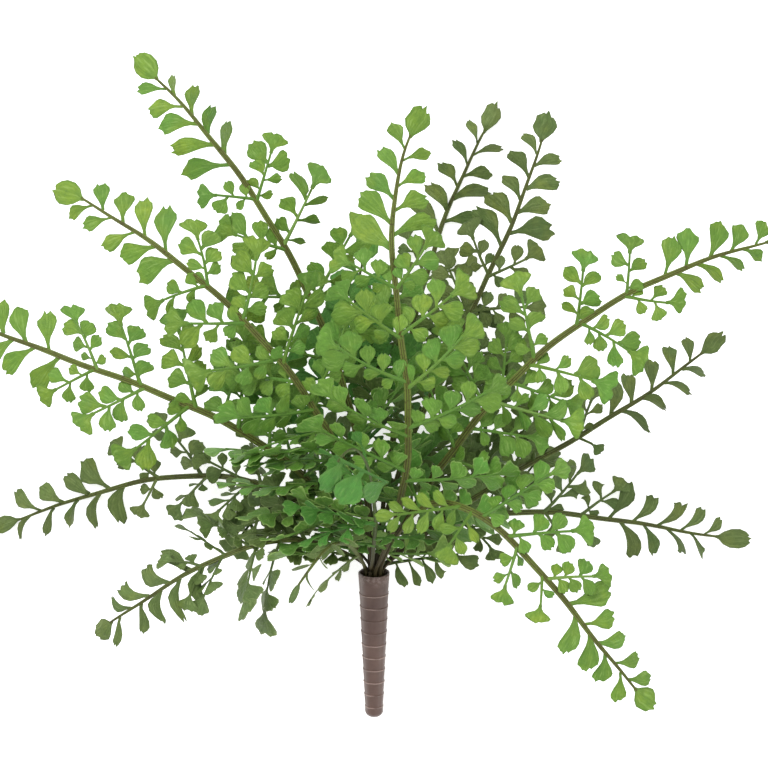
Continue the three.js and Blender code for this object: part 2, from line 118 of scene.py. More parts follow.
FRONDS = {
    "frond_upper_left": Frond(INNER_RING, 2, "leaf_bright", 8, (-25, 2, 74), (-74, 106, 96),
        (-149, 194, 84), curl=(66, 8), tip_leaf=(21, 14.5), spread=(1.15, 0.95), roll=(0.3, 0.9)),
    "frond_left_upper": Frond(INNER_RING, 1, "leaf_bright", 8, (-40, -16, 104), (-107, 60, 132),
        (-193, 117, 108), foot=(0.2, 0.4, 1), tip_leaf=(22, 15), spread=(1.1, 1.05),
        roll=(0.5, 0.95)),
    "frond_left": Frond(OUTER_RING, 5, "leaf_bright", 8, (-72, -36, 84), (-166, 7, 96),
        (-268, 48, 62), foot=FACE_INWARD, spread=(1.14, 1.04), left_out=(5, 11, 13), roll=(0.2, 1)),
    "frond_left_lower": Frond(OUTER_RING, 7, "leaf_dark", 6, (-86, -58, 30), (-166, -64, 8),
        (-242, -89, -12), foot=FACE_INWARD, rests=True, curl=(26, 50), tip_leaf=(20, 10),
        spread=(0.95, 0.66), left_out=(10,), kinds=("strap", "sickle", "club"), roll=(0.4, 0.4)),
    "frond_lower_left": Frond(OUTER_RING, 6, "leaf_dark", 6, (-65, -94, 62), (-122, -116, 62),
        (-179, -154, 38), foot=FACE_INWARD, face=(0, 0.3, 1), curl=(34, 38), slim=1.15,
        tip_leaf=(16, 12), spread=(0.9, 0.95), left_out=(8,), kinds=("sickle", "sickle", "fin"),
        roll=(0.7, 0.6)),
    "frond_centre": Frond(OUTER_RING, 2, "leaf_bright", 8, (14, -14, 132), (5, 73, 160),
        (24, 161, 146), curl=(14, 14), spread=(1.14, 1.14), left_out=(6, 15), roll=(0.2, 0.45)),
    "frond_top": Frond(OUTER_RING, 8, "leaf_dark", 6, (8, -16, 20), (30, 80, 6), (72, 171, -12),
        rests=True, curl=(30, 36), tip_leaf=(20, 11), slim=0.9, spread=(0.86, 0.86)),
    "frond_top_right": Frond(INNER_RING, 4, "leaf_dark", 8, (22, -20, 44), (66, 72, 44),
        (99, 166, 34), curl=(20, 30), tip_leaf=(20, 14), spread=(1, 0.95)),
    "frond_right_upper": Frond(INNER_RING, 0, "leaf_bright", 8, (54, -22, 96), (130, 45, 112),
        (245, 88, 80), foot=(-0.2, 0.4, 1), curl=(60, 12), tip_leaf=(20, 12),
        left_out=(14,)),
    "frond_right": Frond(OUTER_RING, 0, "leaf_dark", 6, (64, -62, 56), (134, -21, 54),
        (206, 31, 36), foot=FACE_INWARD, face=(0, 0.3, 1), curl=(74, 16), tip_leaf=(21, 11),
        slim=0.88, spread=(0.46, 0.8), kinds=("strap", "wedge", "fin")),
    "frond_right_lower": Frond(OUTER_RING, 10, "leaf_dark", 7, (62, -79, 24), (142, -83, 8),
        (223, -96, -10), foot=(0, 0.4, 1), first=9, rests=True, curl=(40, 24), tip_leaf=(22, 12),
        slim=0.87, spread=(0.56, 0.92), kinds=("wedge", "club", "fin"), left_out=(5, 9, 11, 12)),
    "frond_lower_right": Frond(OUTER_RING, 1, "leaf_bright", 6, (45, -72, 104), (103, -124, 114),
        (161, -194, 84), foot=(0, 0.7, 1), face=(0.2, 0.2, 1), first=56, curl=(24, 12),
        tip_leaf=(18, 15), spread=(0.74, 1.04), left_out=(7, 9)),
    "frond_front": Frond(OUTER_RING, 3, "leaf_middle", 4, (-6, -66, 118), (-16, -38, 178),
        (-34, -62, 204), foot=(0, 1, 0.6), face=(0, 0.6, 1), curl=(50, 50), tip_leaf=(17, 15),
        left_out=(1, 3, 4, 6, 7), roll=(0.95, 0.95), bare=True),
    "frond_front_low": Frond(OUTER_RING, 4, "leaf_middle", 3, (-26, -94, 96), (-42, -106, 128),
        (-60, -134, 134), foot=(-0.3, 1, 0.6), face=(-0.5, 0.4, 1), curl=(82, 82), slim=0.55,
        tip_leaf=(14, 4.5), spread=(0.62, 0.62), left_out=(1, 3), kinds=("sickle",),
        finish="leaf_dark", roll=(0.9, 0.9)),
    "frond_upper_middle": Frond(INNER_RING, 3, "leaf_middle", 5, (-13, -34, 44), (-18, 26, 52),
        (-8, 92, 42), spread=(1.25, 1.25)),
    "frond_right_short": Frond(OUTER_RING, 9, "leaf_dark", 3, (20, -76, 22), (58, -56, 26),
        (108, -44, 16), spread=(0.6, 1), left_out=(4,)),
}

pick_axis = np.array((0, math.cos(PICK_TILT), math.sin(PICK_TILT)))
pick_across = np.array((1.0, 0, 0))
pick_front = np.cross(pick_across, pick_axis)

# The frame's origin is under the middle of the bush: the pick's box says how far it was moved.
pick_low, pick_high = (np.array(corner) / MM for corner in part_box("pick"))
rim_reach = PICK_MOUTH_RADIUS * math.sin(PICK_TILT)
moved = np.array(((pick_low[0] + pick_high[0]) / 2 - PICK_MOUTH[0],
                  pick_high[1] - (PICK_MOUTH[1] + rim_reach), 0))
rim_rise = PICK_MOUTH_RADIUS * math.cos(PICK_TILT)
mouth = np.array((*PICK_MOUTH, pick_high[2] - rim_rise))


def mix(a, b, share):
    return a * (1 - share) + b * share


def unit(v):
    return v / np.linalg.norm(v, axis=-1, keepdims=True)


def by_side(pair, side):
    return pair[0] if side > 0 else pair[1]


# ---- route of a frond's stem
class Route:
    """A stem's way: straight through its hole, then one cubic through low, high and tip."""

    def __init__(self, frond):
        holes, distance = frond.ring
        turn = (frond.slot + 0.5) / holes * 2 * math.pi
        foot = (mouth + pick_across * distance * math.cos(turn)
                + pick_front * distance * math.sin(turn))
        start = foot + pick_axis * RIM_REST
        low, high, tip = (np.array(point, float) for point in (frond.low, frond.high, frond.tip))
        pull = (-5 * start + 18 * low - 9 * high + 2 * tip) / 6
        push = (2 * start - 9 * low + 18 * high - 5 * tip) / 6
        t = np.linspace(0, 1, ROUTE_POINTS + 1)[:, None]
        curve = (start * (1 - t) ** 3 + 3 * pull * t * (1 - t) ** 2
                 + 3 * push * t ** 2 * (1 - t) + tip * t ** 3)
        curve[:, 2] = np.maximum(curve[:, 2], STEM_REST if frond.rests else 0)
        seat = [foot - pick_axis * (BINDER_DEPTH + BINDER_LENGTH), foot - pick_axis * BINDER_DEPTH]
        self.points = np.vstack((seat, curve))
        steps = np.linalg.norm(np.diff(self.points, axis=0), axis=1)
        self.reach = np.concatenate(((0,), np.cumsum(steps)))
        self.length = self.reach[-1]
        self.rim = BINDER_DEPTH + BINDER_LENGTH
        self.foot = unit(np.array(frond.foot, float))
        self.face = unit(np.array(frond.face, float))

    def at(self, distance):
        distance = np.atleast_1d(distance)
        i = np.clip(np.searchsorted(self.reach, distance), 1, len(self.reach) - 1)
        share = (distance - self.reach[i - 1]) / (self.reach[i] - self.reach[i - 1])
        return self.points[i - 1] + (self.points[i] - self.points[i - 1]) * share[:, None]

    def frame(self, distance):
        """Places on the route, and the directions along it, out of its face and across it."""
        distance = np.atleast_1d(distance)
        along = unit(self.at(distance + FRAME_REACH) - self.at(distance - FRAME_REACH))
        share = np.clip((distance - self.rim) / (FACE_TURNED * self.length - self.rim), 0, 1)
        turned = (share * share * (3 - 2 * share))[:, None]
        face = mix(self.foot, self.face, turned)
        out = unit(face - along * (along * face).sum(1)[:, None])
        return self.at(distance), along, out, np.cross(along, out)


# ---- leaflets of the frame, which set where the finer ones go
def leaf_corners(x, side, angle, length, width):
    """Foot and the outer corners of a leaflet, with x along the rib and y across it."""
    lengthwise = np.array((math.cos(angle), side * math.sin(angle)))
    widthwise = np.array((math.sin(angle), -side * math.cos(angle)))
    foot = np.array((x, side * RIB_HALF))
    shares = ((0.84, -0.5), (0.9, -0.02), (1, 0.42))
    return foot, [foot + lengthwise * a * length + widthwise * b * width for a, b in shares]


def fan_corners(x, length, width):
    shares = ((0.5, -0.5), (0.92, -0.34), (0.86, 0.02), (1, 0.2), (0.55, 0.5))
    return [np.array((x + a * length, b * width)) for a, b in shares]


def side_spray_leaves(length):
    spread = ((0.3, 1), (0.38, -1), (0.54, 1), (0.62, -1))
    return [(share * length, side, math.radians(58), 0.3 * length, 0.2 * length)
            for share, side in spread]


def end_spray_leaves():
    leaves = []
    for i in range(END_SPRAY_LEAFLETS):
        share = i / (END_SPRAY_LEAFLETS - 1)
        leaves.append((mix(4, TIP_LEAFLET[0] - TIP_GAP, share), 1 if i % 2 else -1,
                       math.radians(mix(62, 50, share)), mix(19, 13, share), mix(9, 6.5, share)))
    return leaves


def leaf_samples(leaves, fan, bend):
    """Points all over the leaflets of a spray, and along its rib."""
    flat = []
    for leaf in leaves:
        foot, corners = leaf_corners(*leaf)
        for corner in corners:
            flat += [mix(foot, corner, share) for share in (0.35, 0.68, 1)]
    flat += fan_corners(*fan)
    flat += [np.array((fan[0] * share, 0)) for share in (0.4, 0.6, 0.8, 1)]
    flat = np.array(flat)
    return bend(flat[:, 0], flat[:, 1], np.zeros(len(flat)))


# ---- sprays in space
def end_spray_bend(route, rests):
    """Puts a point of the flat end spray in space: it follows the stem's route."""
    start = route.length - END_SPRAY
    drop = STEM_REST - BLADE / 2 if rests else 0
    fold = 0 if rests else FOLD

    def bend(x, y, z):
        at, along, out, across = route.frame(start + x)
        return at - across * y[:, None] + out * (z - drop - fold * abs(y))[:, None]

    return bend


def arched_bend(place, rib, facing, length):
    """Puts a point of a flat spray in space: it runs along rib from place and arches back."""
    aside = unit(np.cross(rib, facing))
    upper = np.cross(aside, rib)

    def bend(x, y, z):
        lift = z - SPRAY_BEND * x / length * x / 2 - FOLD * abs(y)
        return place + rib * x[:, None] - aside * y[:, None] + upper * lift[:, None]

    return bend


def side_spray_bend(route, at, side, angle, length, tilt):
    """The bend of a side spray: angled from the stem and tilted out of its face."""
    place, along, out, across = (v[0] for v in route.frame(at))
    level = along * math.cos(angle) + across * side * math.sin(angle)
    rib = level * math.cos(tilt) + out * math.sin(tilt)
    return arched_bend(place, rib, out, length)


# ---- keeping the fronds clear of each other
class Crowd:
    """Every sample point placed so far, with the frond that it belongs to."""

    def __init__(self):
        self.points = np.zeros((0, 3))
        self.owners = np.zeros(0, int)
        self.gaps = np.zeros(0)

    def remember(self, points, owner, gap):
        self.points = np.vstack((self.points, points))
        self.owners = np.concatenate((self.owners, np.full(len(points), owner)))
        self.gaps = np.concatenate((self.gaps, np.full(len(points), gap)))

    def is_clear(self, points, owner, ease):
        if points[:, 2].min() < SURFACE_CLEAR:
            return False
        others = self.owners != owner
        apart = ((points[:, None] - self.points[others]) ** 2).sum(2)
        return bool((apart >= (self.gaps[others] * ease) ** 2).all())


TRIES = [(math.radians(tilt), share) for share in (1, 0.8, 0.62)
         for tilt in (10, 26, -8, 42, -24, 58)]
LOOSE = 0.45  # how near the sprays that only the looks have may come
LATER_START = 0.55  # and how near the rim they start, as a share of the others


def place_spray(crowd, route, owner, at, side, angle, full, ease):
    """The first tilt and length that keep a side spray clear of the other fronds, or None."""
    for tilt, share in TRIES:
        length = share * full
        fan = (0.7 * length, 0.3 * length, 0.34 * length)
        bend = side_spray_bend(route, at, side, angle, length, tilt)
        points = leaf_samples(side_spray_leaves(length), fan, bend)
        if crowd.is_clear(points, owner, ease):
            crowd.remember(points, owner, CLEAR_LEAF)
            return at, side, length, bend
    return None


def place_sprays(crowd, route, owner, frond, turned, first, ease):
    """Side sprays from the tip to the foot, on one side and the other in turn."""
    last = route.length - END_SPRAY - LAST_SPRAY_GAP
    placed = []
    for i in range(frond.sprays):
        share = (i / (frond.sprays - 1)) ** SPRAY_CROWDING
        side = (-1 if i % 2 else 1) * turned
        lean = SPRAY_LEAN * math.sin(2.4 * i + 1.7 * side + route.length)
        angle = math.radians(mix(*reversed(SPRAY_ANGLE), share) + lean)
        spray = place_spray(crowd, route, owner, mix(last, first, share), side, angle,
                            mix(*reversed(SPRAY_LENGTH), share), ease)
        if spray:
            placed.append(spray)
    return placed


def set_out_fronds():
    """Routes and side sprays: first those of the frame, then those that only the looks have."""
    crowd = Crowd()
    routes = {}
    for name, frond in FRONDS.items():
        route = Route(frond)
        routes[name] = route
        samples = route.at(np.arange(route.rim, route.length, STEM_SAMPLE))
        crowd.remember(samples, len(routes), CLEAR_STEM)
    for owner, (name, route) in enumerate(routes.items(), 1):
        bend = end_spray_bend(route, FRONDS[name].rests)
        crowd.remember(leaf_samples(end_spray_leaves(), TIP_LEAFLET, bend), owner, CLEAR_LEAF)
    sprays = {name: [] for name in routes}
    for turned, start, ease in ((1, 1, 1), (-1, LATER_START, LOOSE)):
        for owner, (name, route) in enumerate(routes.items(), 1):
            frond = FRONDS[name]
            first = route.rim + start * frond.first
            sprays[name] += place_sprays(crowd, route, owner, frond, turned, first, ease)
    return routes, sprays


# ---- small helpers for modelling
def deselect_all():
    if bpy.context.object and bpy.context.object.mode != "OBJECT":
        bpy.ops.object.mode_set(mode="OBJECT")
    bpy.ops.object.select_all(action="DESELECT")


def take(piece):
    """Makes a piece the one that the next steps work on."""
    deselect_all()
    bpy.context.view_layer.objects.active = piece
    piece.select_set(True)


def smooth(piece, degrees):
    take(piece)
    bpy.ops.object.shade_smooth_by_angle(angle=math.radians(degrees))


def face_outwards(piece):
    take(piece)
    bpy.ops.object.mode_set(mode="EDIT")
    bpy.ops.mesh.select_all(action="SELECT")
    bpy.ops.mesh.normals_make_consistent(inside=False)
    bpy.ops.object.mode_set(mode="OBJECT")


# ---- leaflets: each kind is modelled once, flat, with its foot at the origin and its tip along +X
LEAF_ACROSS = 6
LEAF_ALONG = 6
LEAF_THICKNESS = 0.42


class Leaf:
    """A leaflet's mesh as arrays: places for a size of 1 by 1, growth marks and faces."""

    def __init__(self, *hundredths):
        reach, tipward, backward, ends = np.array(hundredths) / 100
        deselect_all()
        bpy.ops.mesh.primitive_grid_add(
            x_subdivisions=LEAF_ACROSS, y_subdivisions=LEAF_ALONG, size=1)
        sheet = bpy.context.object
        grow = []
        for vertex in sheet.data.vertices:
            column = round((vertex.co.x + 0.5) * LEAF_ACROSS)
            row = round((vertex.co.y + 0.5) * LEAF_ALONG)
            across = column / LEAF_ACROSS
            x = reach[row] * (1 + ends[column] * (row / LEAF_ALONG) ** 2)
            vertex.co = (x, mix(tipward[row], -backward[row], across), 0)
            grow.append((across, row / LEAF_ALONG))
        thicken = sheet.modifiers.new("thicken", "SOLIDIFY")
        thicken.thickness = 1
        thicken.offset = 0
        take(sheet)
        bpy.ops.object.modifier_apply(modifier=thicken.name)
        mesh = sheet.data
        self.places = np.array([vertex.co[:] for vertex in mesh.vertices])
        self.grow = np.array(grow + grow)
        self.faces = [tuple(polygon.vertices) for polygon in mesh.polygons]
        bpy.data.objects.remove(sheet)


# From foot to end: how far along each row is, how wide it is towards the frond's tip and away from
# it. The last seven say how much further or shorter each column ends.
leaf_kinds = {
    "club": Leaf(
        (0, 20, 36, 54, 76, 92, 100), (8, 8, 17, 38, 53, 48, 29),
        (8, 7.5, 12, 24, 40, 42, 28), (-13, -3, 1, -3, 1, -4, -12)),
    "spoon": Leaf(
        (0, 22, 36, 54, 75, 90, 100), (7, 7, 14, 34, 50, 45, 26),
        (7, 7, 13, 31, 48, 44, 26), (-11, -1, 0, -4, 1, -2, -12)),
    "strap": Leaf(
        (0, 16, 32, 52, 74, 91, 100), (13, 15, 28, 44, 49, 44, 29),
        (10, 11, 18, 31, 42, 42, 28), (-13, 0, -4, 1, -4, 0, -12)),
    "wedge": Leaf(
        (0, 18, 34, 54, 76, 92, 100), (9, 11, 22, 38, 50, 48, 33),
        (8, 9, 16, 30, 44, 46, 33), (-13, -2, -5, 0, -4, -1, -12)),
    "fin": Leaf(
        (0, 18, 34, 54, 74, 90, 100), (8, 10, 26, 46, 54, 50, 40),
        (8, 7, 6, 6, 12, 24, 34), (4, -2, -6, -8, -12, -16, -22)),
    "sickle": Leaf(
        (0, 18, 36, 56, 76, 90, 100), (9, 12, 32, 46, 42, 24, 2),
        (8, 7, 5, 6, 12, 19, 20), (2, 0, 0, 0, 0, -2, -4)),
    "round": Leaf(
        (0, 17, 30, 49, 70, 88, 100), (9, 10, 28, 49, 56, 46, 25),
        (9, 10, 24, 43, 52, 45, 25), (-6, 0, -2, 0, -3, 0, -6)),
    "oval": Leaf(
        (0, 17, 31, 50, 72, 89, 100), (9, 11, 28, 44, 48, 40, 22),
        (9, 10, 22, 38, 46, 40, 22), (-6, -1, 0, -3, 0, -1, -6)),
    "hatchet": Leaf(
        (0, 16, 28, 50, 74, 90, 100), (10, 13, 38, 60, 60, 46, 27),
        (8, 8, 12, 24, 40, 42, 28), (-8, -3, 0, -4, 0, -3, -5)),
    "crest": Leaf(
        (0, 20, 38, 55, 70, 86, 100), (7, 8, 19, 44, 56, 50, 30),
        (7, 8, 17, 42, 54, 50, 30), (-10, 0, -3, 1, -3, 0, -10)),
    "lobed": Leaf(
        (0, 20, 36, 54, 74, 90, 100), (7, 8, 18, 40, 53, 50, 36),
        (7, 8, 16, 34, 48, 50, 38), (-14, -2, 0, -10, 0, -3, -12)),
    "tip": Leaf(
        (0, 10, 24, 44, 70, 88, 100), (6, 12, 36, 50, 50, 38, 20),
        (6, 10, 30, 46, 50, 40, 22), (-6, -2, 0, -6, 2, -4, -6)),
    "ragged": Leaf(
        (0, 12, 26, 44, 68, 86, 100), (6, 12, 38, 54, 48, 48, 28),
        (6, 12, 26, 42, 52, 40, 24), (-8, 0, -8, 3, -3, -10, -10)),
}
PAIR_KINDS = ("round", "oval", "hatchet", "spoon")
NARROW_KINDS = ("fin", "club", "hatchet")
OVAL_KINDS = ("oval", "round")
FAN_KINDS = ("crest", "lobed")
TIP_KINDS = ("tip", "ragged")
FRILL = 0.042  # how unevenly a leaflet's end is cut, as a share of its length


class Foliage:
    """Gathers the stem, ribs and leaflets of one frond into one mesh."""

    def __init__(self):
        self.places, self.marks, self.painted_shades = [], [], []
        self.faces, self.materials, self.count = [], [], 0

    def add(self, places, marks, painted_shade, faces, material):
        self.places.append(places)
        self.marks.append(marks)
        self.painted_shades.append(np.full(len(places), painted_shade))
        self.faces += [tuple(index + self.count for index in face) for face in faces]
        self.materials += [material] * len(faces)
        self.count += len(places)

    def make(self, name, materials):
        mesh = bpy.data.meshes.new(name)
        places = (np.vstack(self.places) + moved) * MM
        mesh.from_pydata(places.tolist(), [], self.faces)
        mesh.polygons.foreach_set("material_index", self.materials)
        marks = mesh.attributes.new("growth", "FLOAT_VECTOR", "POINT")
        marks.data.foreach_set("vector", np.vstack(self.marks).ravel())
        # how much painted shade each point has, which the leaf finish paints on; below zero it is
        # painted light
        painted_shades = mesh.attributes.new("painted_shade", "FLOAT", "POINT")
        painted_shades.data.foreach_set("value", np.concatenate(self.painted_shades))
        for material in materials:
            mesh.materials.append(material)
        piece = bpy.data.objects.new(name, mesh)
        bpy.context.collection.objects.link(piece)
        face_outwards(piece)
        smooth(piece, 42)
        return piece


LEAFLET = 0
STALK = 1
SURFACE_GAP = 0.3


def add_leaflet(foliage, bend, draw, kinds, foot, side, angle, length, width,
                curl=0.0, sweep=0.0, painted_shade=0.0):
    """One leaflet between two kinds, turned and curled in its own way, bent with its spray."""
    leaf, other = (leaf_kinds[kinds[pick]] for pick in draw.integers(len(kinds), size=2))
    outline = mix(leaf.places, other.places, draw.random())
    waves = draw.uniform(0, 6.3) + draw.uniform(1.1, 2.1) * np.arange(LEAF_ACROSS + 1)
    frill = FRILL * np.sin(waves) + draw.uniform(-0.01, 0.01, LEAF_ACROSS + 1)
    column = np.rint(leaf.grow[:, 0] * LEAF_ACROSS).astype(int)
    along = outline[:, 0] * (1 + frill[column] * leaf.grow[:, 1] ** 3)
    aside = outline[:, 1] * (1 if draw.random() < 0.7 else -1) * width
    turn = math.radians(curl + draw.uniform(-14, 14)) * np.clip(along / 0.35, 0, 1)
    cup = draw.uniform(-0.25, 0.5) / width
    rise = draw.uniform(-0.06, 0.12)
    droop = draw.uniform(-0.06, 0.22)
    sweep += draw.uniform(-0.05, 0.05)
    depth = outline[:, 2] * LEAF_THICKNESS - cup * aside ** 2
    x = along * length
    y = aside * np.cos(turn) - depth * np.sin(turn) - sweep * length * along ** 2
    z = aside * np.sin(turn) + depth * np.cos(turn) + length * (rise * along - droop * along ** 2)
    flat_x = foot[0] + math.cos(angle) * x + math.sin(angle) * y
    flat_y = foot[1] + side * (math.sin(angle) * x - math.cos(angle) * y)
    places = bend(flat_x, flat_y, z)
    sunk = max(SURFACE_GAP - places[:, 2].min(), 0)
    places[:, 2] += sunk * np.clip(along / 0.2, 0, 1)
    marks = np.column_stack((leaf.grow, np.full(len(leaf.grow), draw.random())))
    foliage.add(places, marks, painted_shade, leaf.faces, LEAFLET)


def add_tube(foliage, centres, asides, outs, halves, flat, groove, mark, painted_shade, material):
    """A tapering rod through the given centres, with two grooves along its upper side."""
    sides = 14 if groove else 6
    turns = np.arange(sides) / sides * 2 * math.pi + math.pi / 2
    off_top = np.abs(np.angle(np.exp(1j * (turns - math.pi / 2))))
    dip = np.exp(-((off_top - 0.5) / 0.24) ** 2)
    profile = 1 - groove * dip
    rings = len(centres)
    places = []
    marks = []
    for ring in range(rings):
        across = asides[ring] * halves[ring]
        up = outs[ring] * halves[ring] * flat
        share = ring / (rings - 1)
        for turn, size, depth in zip(turns, profile, dip):
            places.append(centres[ring] + (across * math.cos(turn) + up * math.sin(turn)) * size)
            marks.append(mark(depth, share))
    faces = []
    for ring in range(rings - 1):
        for side in range(sides):
            a = ring * sides + side
            b = ring * sides + (side + 1) % sides
            faces.append((a, b, b + sides, a + sides))
    faces.append(tuple(reversed(range(sides))))
    faces.append(tuple(range((rings - 1) * sides, rings * sides)))
    foliage.add(np.array(places), np.array(marks), painted_shade, faces, material)


WANDER = 0.35  # how far a stem strays from its smooth way,
WANDER_PITCH = 9  # how often
WANDER_START = 30  # and how far from the rim it does so fully


def add_stem(foliage, route, end_bend, stout):
    """The frond's own stem, from inside the socket to the leaflet at the tip."""
    start = route.length - END_SPRAY
    thick = np.arange(0, start + 4, 4.0)
    at, _, out, across = route.frame(thick)
    swell = np.clip((thick - route.rim) / STEM_SWELL, 0, 1)
    taper = np.clip((thick - route.rim) / (start - route.rim), 0, 1)
    half = np.minimum(mix(1.0, 2.35 * stout, swell), mix(2.6, 1.75, taper) * stout)
    x = np.arange(8.0, TIP_LEAFLET[0] + 2, 4.0)
    thin_at = end_bend(x, np.zeros(len(x)), np.full(len(x), 0.1))
    _, _, thin_out, thin_across = route.frame(start + x)
    half = np.concatenate((half, mix(1.75 * stout, 0.75, x / TIP_LEAFLET[0])))
    flat = 0.8
    centres = np.vstack((at, thin_at))
    way = np.concatenate((thick, start + x))
    wander = (WANDER * np.sin(way / WANDER_PITCH + route.length)
              * np.clip((way - route.rim) / WANDER_START, 0, 1))
    centres += np.vstack((across, thin_across)) * wander[:, None]
    centres[:, 2] = np.maximum(centres[:, 2], half * flat + 0.05)
    add_tube(foliage, centres, -np.vstack((across, thin_across)), np.vstack((out, thin_out)),
             half, flat, 0.32, lambda depth, share: (depth, share, 0.5), 0.0, STALK)


def add_rib(foliage, bend, end, thick, thin, tone, painted_shade):
    x = np.linspace(0, end, 8)
    zero = np.zeros(len(x))
    at = bend(x, zero, zero)
    aside = unit(bend(x, zero + 0.5, zero) - bend(x, zero - 0.5, zero))
    along = unit(bend(x + 0.5, zero, zero) - bend(x - 0.5, zero, zero))
    out = np.cross(along, aside)
    half = mix(thick, thin, np.minimum(x / end * 1.4, 1))
    half[0] *= 1.25
    at[:, 2] = np.maximum(at[:, 2], half * 0.7 + 0.05)
    add_tube(foliage, at, aside, out, half, 0.7, 0.0,
             lambda depth, share: (0.5, 0.06, mix(0.55, 1, tone)), painted_shade, LEAFLET)


HOOK = 0.36  # how far an edge-on leaflet of an end spray hooks back
DULL_HOOK = 0.62  # and one of a frond that isn't bright


def add_end_spray(foliage, bend, draw, frond, above):
    """Single leaflets in loose pairs that grow smaller towards the leaflet at the tip."""
    hook = HOOK if frond.green == "leaf_bright" else DULL_HOOK
    for i in range(-1, END_SPRAY_LEAFLETS):
        share = i / (END_SPRAY_LEAFLETS - 1)
        x = mix(3, TIP_LEAFLET[0] - 8, share) + draw.uniform(-1, 1)
        side = 1 if i % 2 else -1
        turn = by_side(frond.curl, -side)
        edge_on = turn / 90
        angle = math.radians(mix(55, 44, share) + draw.uniform(-7, 7) - 26 * edge_on)
        length = (mix(26.5, 18, share) * draw.uniform(0.86, 1.12) * mix(0.6, 1, frond.slim)
                  * mix(1, 0.62, edge_on))
        width = mix(14.5, 9.4, share) * draw.uniform(0.84, 1.16) * frond.slim
        # painted shade: leaflets nearer the mouth are painted darker and greener, and olive close
        # to it
        painted_shade = max(1 - (above + x) / PAINTED_SHADE_REACH, 0)
        add_leaflet(foliage, bend, draw, frond.kinds, (x, 0.4 * side), side, angle,
                    length, width, turn, 0.06 + hook * edge_on, painted_shade)
    long, wide = frond.tip_leaf
    add_leaflet(foliage, bend, draw, TIP_KINDS, (TIP_LEAFLET[0] - 1, 0), 1,
                math.radians(draw.uniform(-5, 5)), long, wide)


LEAF_REACH = 15  # longest leaflet and fan of a side spray, and widest fan
FAN_REACH = 14
FAN_WIDTH = 20
PAIRS = ((21, 0), (30, 1), (37, 2), (54, 3), (99, 4))  # spray length, pairs of leaflets


def add_side_spray(foliage, length, bend, draw, curl, painted_shade, slim):
    """A rib with leaflets in loose pairs, small ones near the stem and a fan at its end."""
    tone = draw.random()
    fan_long = min(6 + 0.15 * length, FAN_REACH)
    leaf_long = min(3 + 0.25 * length, LEAF_REACH)
    end = length - 0.86 * fan_long
    add_rib(foliage, bend, end, 0.8 + 0.011 * length, 0.8, tone, painted_shade)
    pairs = next(count for limit, count in PAIRS if length < limit)
    kinds = PAIR_KINDS if slim > 0.95 else NARROW_KINDS
    swap = 1 if draw.random() < 0.5 else -1
    for pair in range(pairs):
        share = (pair + 0.25) / pairs
        for side, ahead in ((swap, 1.3), (-swap, -1.3)):
            x = mix(3.5, end - 2, share) + draw.uniform(-1.2, 1.2) + ahead
            angle = math.radians(mix(64, 44, share) + draw.uniform(-10, 10))
            long = leaf_long * mix(0.72, 1.12, share) * draw.uniform(0.82, 1.14)
            wide = long * draw.uniform(0.66, 0.98) * slim
            add_leaflet(foliage, bend, draw, kinds, (x, 0.3 * side), side, angle,
                        long, wide, curl, 0.06, painted_shade)
    add_leaflet(foliage, bend, draw, FAN_KINDS, (end - 1, 0), 1,
                math.radians(draw.uniform(-14, 14)), fan_long,
                min(6 + 0.27 * length, FAN_WIDTH) * draw.uniform(0.86, 1.1) * slim, 0.6 * curl,
                0.0, painted_shade)


def edge_on_turn(bend, x):
    """How far a spray has to turn about its rib to be seen from above as a line."""
    places = bend(np.full(4, x), np.array((1.0, -1, 0, 0)), np.array((0.0, 0, 1, 0)))
    turn = math.atan2(places[2, 2] - places[3, 2], (places[0, 2] - places[1, 2]) / 2)
    return turn - math.pi * round(turn / math.pi)


def rolled(bend, turn, bow):
    """The same spray, turned about its own rib and bowed sideways."""
    def bend_rolled(x, y, z):
        return bend(x, y * math.cos(turn) - z * math.sin(turn) + bow * x * x,
                    y * math.sin(turn) + z * math.cos(turn))

    return bend_rolled
